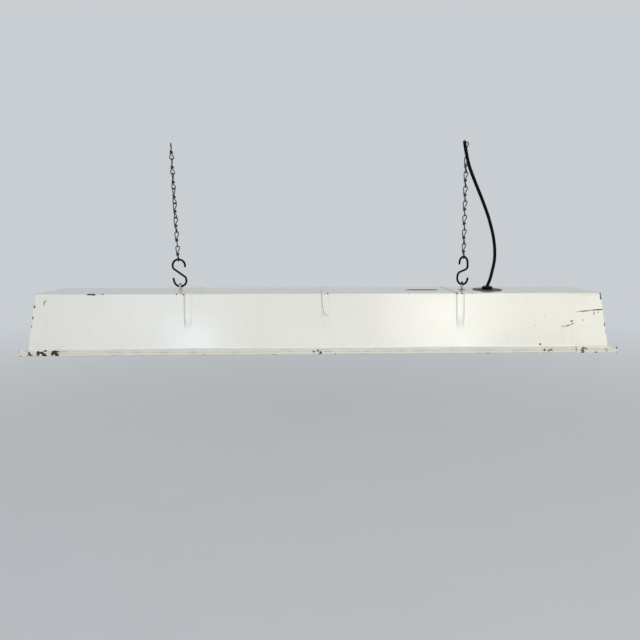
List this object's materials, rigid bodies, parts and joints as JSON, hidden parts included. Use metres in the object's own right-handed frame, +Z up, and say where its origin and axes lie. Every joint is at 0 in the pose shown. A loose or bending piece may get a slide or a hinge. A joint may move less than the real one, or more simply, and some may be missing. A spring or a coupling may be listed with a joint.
{
  "type": "pool table lamp",
  "caption": "Long cream enamelled steel trough hood with outward rim, hung from eye bolts by S-hooks and knotted wire chains, with lampholders inside and a black mains cable.",
  "frame": {"origin": "centre of the rim's bottom plane", "axes": "+X along the hood's length, +Z up, the front long wall faces -Y"},
  "size_m": [1.5, 0.225, 0.5315],
  "materials": {
    "enamelled_steel": "glossy cream stove enamel, chipped at the edges",
    "painted_eye": "cream paint over steel",
    "rusty_steel": "rusty",
    "zinc_plated_steel": "dull zinc plate",
    "blackened_steel": "satin black",
    "galvanised_wire": "weathered galvanised",
    "grey_zinc_disc": "dark dull zinc",
    "black_nylon": "satin moulded",
    "black_rubber": "matt",
    "cable_sheath": "satin sheath",
    "terminal_plastic": "satin",
    "porcelain": "gloss glaze",
    "brass": "bright pressed",
    "bulb_cap_metal": "pressed",
    "opal_glass": "opal satin",
    "wire_sleeve": "satin"
  },
  "bodies": {
    "lamp": {"hood_body": "enamelled_steel", "end_cap_left": "enamelled_steel", "end_cap_right": "enamelled_steel", "rim_corner_front_left": "enamelled_steel", "rim_corner_front_right": "enamelled_steel", "rim_corner_back_left": "enamelled_steel", "rim_corner_back_right": "enamelled_steel", "eye_bolt_left": "painted_eye", "eye_washer_left": "zinc_plated_steel", "eye_nut_left": "zinc_plated_steel", "eye_bolt_right": "rusty_steel", "eye_washer_right": "zinc_plated_steel", "eye_nut_right": "zinc_plated_steel", "cable_entry_disc": "grey_zinc_disc", "gland_body": "black_nylon", "gland_seal": "black_rubber", "gland_locknut": "black_nylon", "mains_cable": "cable_sheath", "terminal_block": "terminal_plastic", "lamp_bracket_left": "zinc_plated_steel", "lampholder_left": "porcelain", "threaded_shell_left": "brass", "centre_contact_left": "brass", "lamp_wire_left": "wire_sleeve", "lamp_bracket_centre": "zinc_plated_steel", "lampholder_centre": "porcelain", "threaded_shell_centre": "brass", "centre_contact_centre": "brass", "lamp_wire_centre": "wire_sleeve", "lamp_bracket_right": "zinc_plated_steel", "lampholder_right": "porcelain", "threaded_shell_right": "brass", "centre_contact_right": "brass", "lamp_wire_right": "wire_sleeve"},
    "hook_left": {"s_hook_left": "blackened_steel"},
    "link_left_1": {"chain_link_left_1": "galvanised_wire"},
    "link_left_2": {"chain_link_left_2": "galvanised_wire"},
    "link_left_3": {"chain_link_left_3": "galvanised_wire"},
    "link_left_4": {"chain_link_left_4": "galvanised_wire"},
    "link_left_5": {"chain_link_left_5": "galvanised_wire"},
    "link_left_6": {"chain_link_left_6": "galvanised_wire"},
    "link_left_7": {"chain_link_left_7": "galvanised_wire"},
    "link_left_8": {"chain_link_left_8": "galvanised_wire"},
    "hook_right": {"s_hook_right": "blackened_steel"},
    "link_right_1": {"chain_link_right_1": "galvanised_wire"},
    "link_right_2": {"chain_link_right_2": "galvanised_wire"},
    "link_right_3": {"chain_link_right_3": "galvanised_wire"},
    "link_right_4": {"chain_link_right_4": "galvanised_wire"},
    "link_right_5": {"chain_link_right_5": "galvanised_wire"},
    "link_right_6": {"chain_link_right_6": "galvanised_wire"},
    "link_right_7": {"chain_link_right_7": "galvanised_wire"},
    "link_right_8": {"chain_link_right_8": "galvanised_wire"},
    "bulb_left": {"bulb_cap_left": "bulb_cap_metal", "bulb_glass_left": "opal_glass"},
    "bulb_centre": {"bulb_cap_centre": "bulb_cap_metal", "bulb_glass_centre": "opal_glass"},
    "bulb_right": {"bulb_cap_right": "bulb_cap_metal", "bulb_glass_right": "opal_glass"},
    "gland_nut": {"gland_dome_nut": "black_nylon"}
  },
  "joints": [
    {"name": "hook_swing_left", "type": "hinge", "parent": "lamp", "child": "hook_left", "pos_m": [-0.374, 0, 0.1668], "axis": [0, 1, 0], "range_deg": [-12, 12]},
    {"name": "link_nod_left_1", "type": "hinge", "parent": "hook_left", "child": "link_left_1", "pos_m": [-0.376, 0, 0.232], "axis": [1, 0, 0], "range_deg": [-12, 12]},
    {"name": "link_swing_left_2", "type": "hinge", "parent": "link_left_1", "child": "link_left_2", "pos_m": [-0.37668, 0, 0.26429], "axis": [-0.2756, 0.9613, -0.0058], "range_deg": [-15, 15]},
    {"name": "link_nod_left_3", "type": "hinge", "parent": "link_left_2", "child": "link_left_3", "pos_m": [-0.37751, 0, 0.30398], "axis": [0.9611, 0.2756, 0.0201], "range_deg": [-12, 12]},
    {"name": "link_swing_left_4", "type": "hinge", "parent": "link_left_3", "child": "link_left_4", "pos_m": [-0.37821, 0, 0.33768], "axis": [-0.743, 0.6691, -0.0156], "range_deg": [-15, 15]},
    {"name": "link_nod_left_5", "type": "hinge", "parent": "link_left_4", "child": "link_left_5", "pos_m": [-0.37905, 0, 0.37737], "axis": [0.669, 0.7431, 0.014], "range_deg": [-12, 12]},
    {"name": "link_swing_left_6", "type": "hinge", "parent": "link_left_5", "child": "link_left_6", "pos_m": [-0.37975, 0, 0.41106], "axis": [-0.9973, 0.0698, -0.0209], "range_deg": [-15, 15]},
    {"name": "link_nod_left_7", "type": "hinge", "parent": "link_left_6", "child": "link_left_7", "pos_m": [-0.38058, 0, 0.45075], "axis": [0.0697, 0.9976, 0.0015], "range_deg": [-12, 12]},
    {"name": "link_swing_left_8", "type": "hinge", "parent": "link_left_7", "child": "link_left_8", "pos_m": [-0.38129, 0, 0.48444], "axis": [-0.9395, -0.342, -0.0197], "range_deg": [-15, 15]},
    {"name": "hook_swing_right", "type": "hinge", "parent": "lamp", "child": "hook_right", "pos_m": [0.378, 0, 0.1701], "axis": [0.4226, 0.9063, 0], "range_deg": [-12, 12]},
    {"name": "link_nod_right_1", "type": "hinge", "parent": "hook_right", "child": "link_right_1", "pos_m": [0.37896, -0.00174, 0.2383], "axis": [-0.3746, 0.9272, 0], "range_deg": [-12, 12]},
    {"name": "link_swing_right_2", "type": "hinge", "parent": "link_right_1", "child": "link_right_2", "pos_m": [0.37829, -0.00174, 0.27059], "axis": [0.5591, 0.829, 0.0117], "range_deg": [-15, 15]},
    {"name": "link_nod_right_3", "type": "hinge", "parent": "link_right_2", "child": "link_right_3", "pos_m": [0.37745, -0.00174, 0.31028], "axis": [-0.8289, 0.5592, -0.0174], "range_deg": [-12, 12]},
    {"name": "link_swing_right_4", "type": "hinge", "parent": "link_right_3", "child": "link_right_4", "pos_m": [0.37675, -0.00174, 0.34398], "axis": [0.2419, 0.9703, 0.0051], "range_deg": [-15, 15]},
    {"name": "link_nod_right_5", "type": "hinge", "parent": "link_right_4", "child": "link_right_5", "pos_m": [0.37592, -0.00174, 0.38367], "axis": [-0.9701, 0.2419, -0.0203], "range_deg": [-12, 12]},
    {"name": "link_swing_right_6", "type": "hinge", "parent": "link_right_5", "child": "link_right_6", "pos_m": [0.37521, -0.00174, 0.41736], "axis": [0.0697, 0.9976, 0.0015], "range_deg": [-15, 15]},
    {"name": "link_nod_right_7", "type": "hinge", "parent": "link_right_6", "child": "link_right_7", "pos_m": [0.37438, -0.00174, 0.45705], "axis": [-0.9973, 0.0698, -0.0209], "range_deg": [-12, 12]},
    {"name": "link_swing_right_8", "type": "hinge", "parent": "link_right_7", "child": "link_right_8", "pos_m": [0.37367, -0.00174, 0.49074], "axis": [-0.0349, 0.9994, -0.0007], "range_deg": [-15, 15]},
    {"name": "bulb_turn_left", "type": "hinge", "parent": "lamp", "child": "bulb_left", "pos_m": [-0.5, 0, 0.118], "axis": [0, 0, -1], "range_deg": [-1800, 0]},
    {"name": "bulb_turn_centre", "type": "hinge", "parent": "lamp", "child": "bulb_centre", "pos_m": [0, 0, 0.118], "axis": [0, 0, -1], "range_deg": [-1800, 0]},
    {"name": "bulb_turn_right", "type": "hinge", "parent": "lamp", "child": "bulb_right", "pos_m": [0.5, 0, 0.118], "axis": [0, 0, -1], "range_deg": [-1800, 0]},
    {"name": "gland_nut_turn", "type": "hinge", "parent": "lamp", "child": "gland_nut", "pos_m": [0.447, 0, 0.1546], "axis": [0, 0, 1], "range_deg": [0, 1080]}
  ]
}
